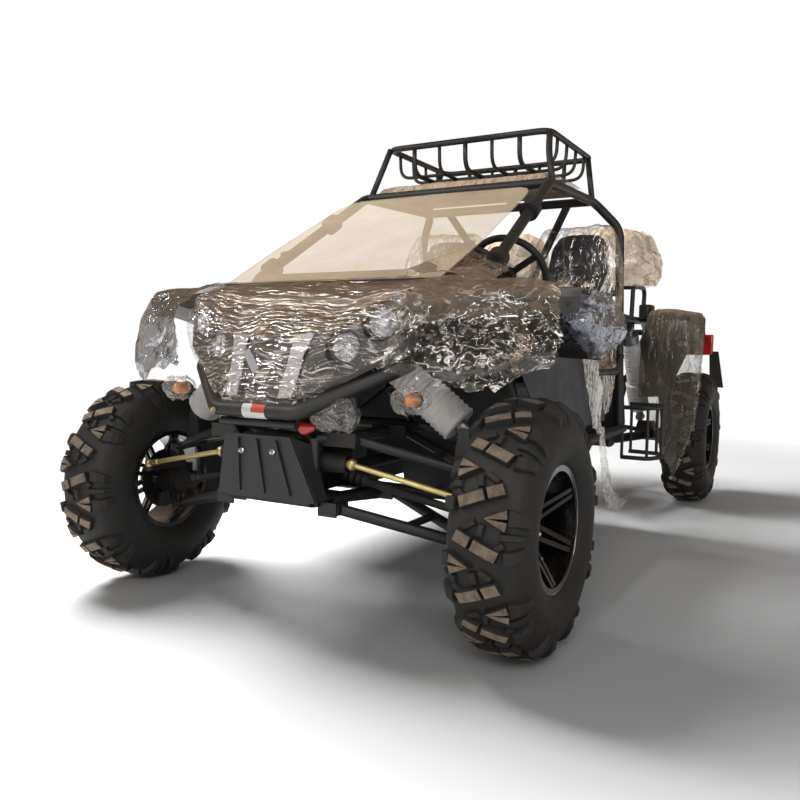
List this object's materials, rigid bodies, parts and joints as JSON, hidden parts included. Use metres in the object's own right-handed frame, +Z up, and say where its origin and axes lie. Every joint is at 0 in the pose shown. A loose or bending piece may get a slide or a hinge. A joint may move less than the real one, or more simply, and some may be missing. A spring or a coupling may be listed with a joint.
{
  "type": "dune buggy",
  "caption": "Two-seat off-road buggy with tube frame, roll cage, steered front wheels, bucket seats, roof basket and wide knobbly tyres.",
  "frame": {"origin": "centre of the bounding box at ground level, under the middle of the vehicle", "axes": "+X towards the vehicle's left, +Y rearward (the nose faces -Y), +Z up; wheels straight ahead"},
  "size_m": [1.795, 3.564, 1.8525],
  "materials": {
    "black_frame": "satin",
    "black_plate": "matte",
    "black_rubber": "matte",
    "body_panel": "gloss",
    "cast_metal": "matte",
    "clear_sheet": "clear",
    "dark_panel": "satin",
    "foam": "matte",
    "lamp_amber": "gloss",
    "lamp_clear": "clear",
    "lamp_red": "gloss",
    "machined_steel": "satin",
    "seat_cloth": "matte",
    "silver_trim": "satin",
    "tyre_rubber": "matte",
    "wheel_black": "gloss",
    "zinc_gold": "satin"
  },
  "bodies": {
    "chassis": {"air_box": "black_frame", "bull_bar": "black_frame", "chassis_floor": "black_frame", "chassis_front": "black_frame", "chassis_rear": "black_frame", "dashboard": "dark_panel", "drive_housings": "cast_metal", "drive_shafts": "machined_steel", "engine": "cast_metal", "floor_pan": "black_plate", "front_arms": "black_frame", "front_fender_left": "body_panel", "front_fender_right": "body_panel", "headlights": "lamp_clear", "hood": "body_panel", "muffler": "machined_steel", "nose_mask": "body_panel", "nose_strips": "silver_trim", "pedals": "black_frame", "rack_housing": "black_rubber", "rear_arms": "black_frame", "rear_fender_left": "body_panel", "rear_fender_right": "body_panel", "rear_flaps": "black_rubber", "rear_guard": "black_frame", "roll_cage": "black_frame", "roof_panel": "body_panel", "roof_rack": "black_frame", "seat_left": "seat_cloth", "seat_pedestals": "black_plate", "seat_right": "seat_cloth", "shock_sleeves": "foam", "shocks": "machined_steel", "side_guards": "black_frame", "side_panels": "dark_panel", "skid_plate": "black_plate", "steering_column": "black_frame", "tail_lights": "lamp_red", "turn_signals": "lamp_amber", "windscreen": "clear_sheet", "windscreen_clamps": "black_rubber"},
    "knuckle_left": {"knuckle_left": "cast_metal"},
    "knuckle_right": {"knuckle_right": "cast_metal"},
    "steering_rack": {"steering_rack": "zinc_gold"},
    "steering_wheel": {"steering_wheel": "black_rubber"},
    "wheel_front_left": {"tyre_front_left": "tyre_rubber", "rim_front_left": "wheel_black"},
    "wheel_front_right": {"tyre_front_right": "tyre_rubber", "rim_front_right": "wheel_black"},
    "wheel_rear_left": {"tyre_rear_left": "tyre_rubber", "rim_rear_left": "wheel_black"},
    "wheel_rear_right": {"tyre_rear_right": "tyre_rubber", "rim_rear_right": "wheel_black"}
  },
  "joints": [
    {"name": "steer_left", "type": "hinge", "parent": "chassis", "child": "knuckle_left", "pos_m": [0.648, -1.4045, 0.288], "axis": [0, 0, 1], "range_deg": [-28, 28]},
    {"name": "steer_right", "type": "hinge", "parent": "chassis", "child": "knuckle_right", "pos_m": [-0.648, -1.4045, 0.288], "axis": [0, 0, 1], "range_deg": [-28, 28]},
    {"name": "rack_slide", "type": "slide", "parent": "chassis", "child": "steering_rack", "axis": [1, 0, 0], "range_m": [-0.0685, 0.0685]},
    {"name": "steering_wheel_turn", "type": "hinge", "parent": "chassis", "child": "steering_wheel", "pos_m": [0.37, -0.6145, 1.19], "axis": [0, 0.866, 0.5], "range_deg": [-270, 270]},
    {"name": "wheel_front_left_spin", "type": "hinge", "parent": "knuckle_left", "child": "wheel_front_left", "pos_m": [0.77, -1.4045, 0.381], "axis": [1, 0, 0], "continuous": true},
    {"name": "wheel_front_right_spin", "type": "hinge", "parent": "knuckle_right", "child": "wheel_front_right", "pos_m": [-0.77, -1.4045, 0.381], "axis": [1, 0, 0], "continuous": true},
    {"name": "wheel_rear_left_spin", "type": "hinge", "parent": "chassis", "child": "wheel_rear_left", "pos_m": [0.77, 1.3455, 0.381], "axis": [1, 0, 0], "continuous": true},
    {"name": "wheel_rear_right_spin", "type": "hinge", "parent": "chassis", "child": "wheel_rear_right", "pos_m": [-0.77, 1.3455, 0.381], "axis": [1, 0, 0], "continuous": true}
  ],
  "couplings": [
    {"joint": "steer_right", "follows": "steer_left", "ratio": 1},
    {"joint": "rack_slide", "follows": "steer_left", "m_per_rad": 0.14},
    {"joint": "steering_wheel_turn", "follows": "steer_left", "ratio": 9.6}
  ]
}
